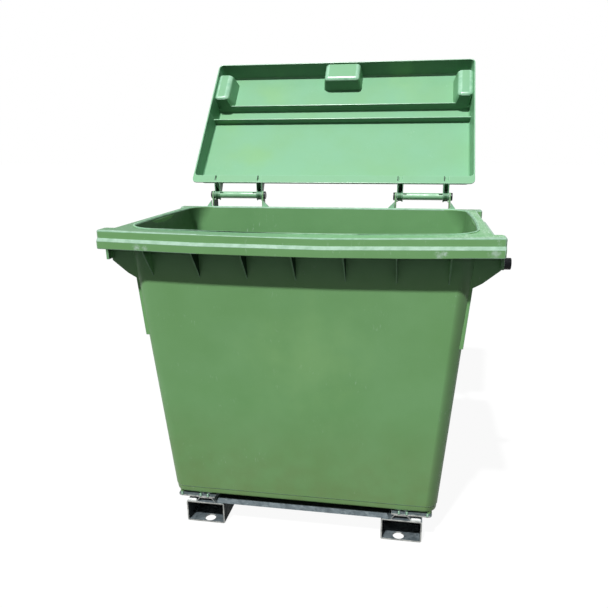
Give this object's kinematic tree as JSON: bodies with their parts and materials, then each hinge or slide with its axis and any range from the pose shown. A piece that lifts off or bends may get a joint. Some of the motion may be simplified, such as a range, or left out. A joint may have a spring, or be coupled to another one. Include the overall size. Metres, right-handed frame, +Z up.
{
  "type": "forklift waste bin",
  "caption": "Moulded waste bin with a hinged tray-shaped lid, side trunnions and a galvanised base with two fork pockets, standing with its lid laid back.",
  "frame": {"origin": "bottom centre of the bounding box, on the floor under the bin as it stands with its lid laid back", "axes": "+Z up, +X across the bin along the lid's hinge, -Y out of the front that the camera sees"},
  "size_m": [1.37, 1.2734, 1.6908],
  "materials": {
    "green_body": "satin moulded high density polyethylene",
    "green_lid": "satin moulded high density polyethylene",
    "green_hinge_sleeve": "satin moulded polyamide",
    "black_cap": "smooth",
    "black_trunnion": "smooth",
    "zinc_plated_steel": "bright zinc plate",
    "galvanised_steel": "hot-dip galvanised, weathered"
  },
  "bodies": {
    "bin": {"bin_bolt_front_left_1": "zinc_plated_steel", "bin_bolt_front_left_2": "zinc_plated_steel", "bin_bolt_front_left_3": "zinc_plated_steel", "bin_bolt_front_left_4": "zinc_plated_steel", "bin_bolt_front_right_1": "zinc_plated_steel", "bin_bolt_front_right_2": "zinc_plated_steel", "bin_bolt_front_right_3": "zinc_plated_steel", "bin_bolt_front_right_4": "zinc_plated_steel", "bin_bolt_rear_left_1": "zinc_plated_steel", "bin_bolt_rear_left_2": "zinc_plated_steel", "bin_bolt_rear_left_3": "zinc_plated_steel", "bin_bolt_rear_left_4": "zinc_plated_steel", "bin_bolt_rear_right_1": "zinc_plated_steel", "bin_bolt_rear_right_2": "zinc_plated_steel", "bin_bolt_rear_right_3": "zinc_plated_steel", "bin_bolt_rear_right_4": "zinc_plated_steel", "body_shell": "green_body", "corner_plate_front_left": "galvanised_steel", "corner_plate_front_right": "galvanised_steel", "corner_plate_rear_left": "galvanised_steel", "corner_plate_rear_right": "galvanised_steel", "cross_rail_front": "galvanised_steel", "cross_rail_rear": "galvanised_steel", "fork_pocket_left": "galvanised_steel", "fork_pocket_right": "galvanised_steel", "hat_section_front_left": "galvanised_steel", "hat_section_front_right": "galvanised_steel", "hat_section_rear_left": "galvanised_steel", "hat_section_rear_right": "galvanised_steel", "hinge_pin_left": "zinc_plated_steel", "hinge_pin_right": "zinc_plated_steel", "hinge_sleeve_left": "green_hinge_sleeve", "hinge_sleeve_right": "green_hinge_sleeve", "pin_cap_left_inner": "black_cap", "pin_cap_left_outer": "black_cap", "pin_cap_right_inner": "black_cap", "pin_cap_right_outer": "black_cap", "trunnion_collar_left": "zinc_plated_steel", "trunnion_collar_right": "zinc_plated_steel", "trunnion_left": "black_trunnion", "trunnion_right": "black_trunnion"},
    "lid": {"lid": "green_lid"}
  },
  "joints": [
    {"name": "lid_hinge", "type": "hinge", "parent": "bin", "child": "lid", "pos_m": [0, 0.13235, 1.1395], "axis": [1, 0, 0], "range_deg": [0, 133]}
  ]
}
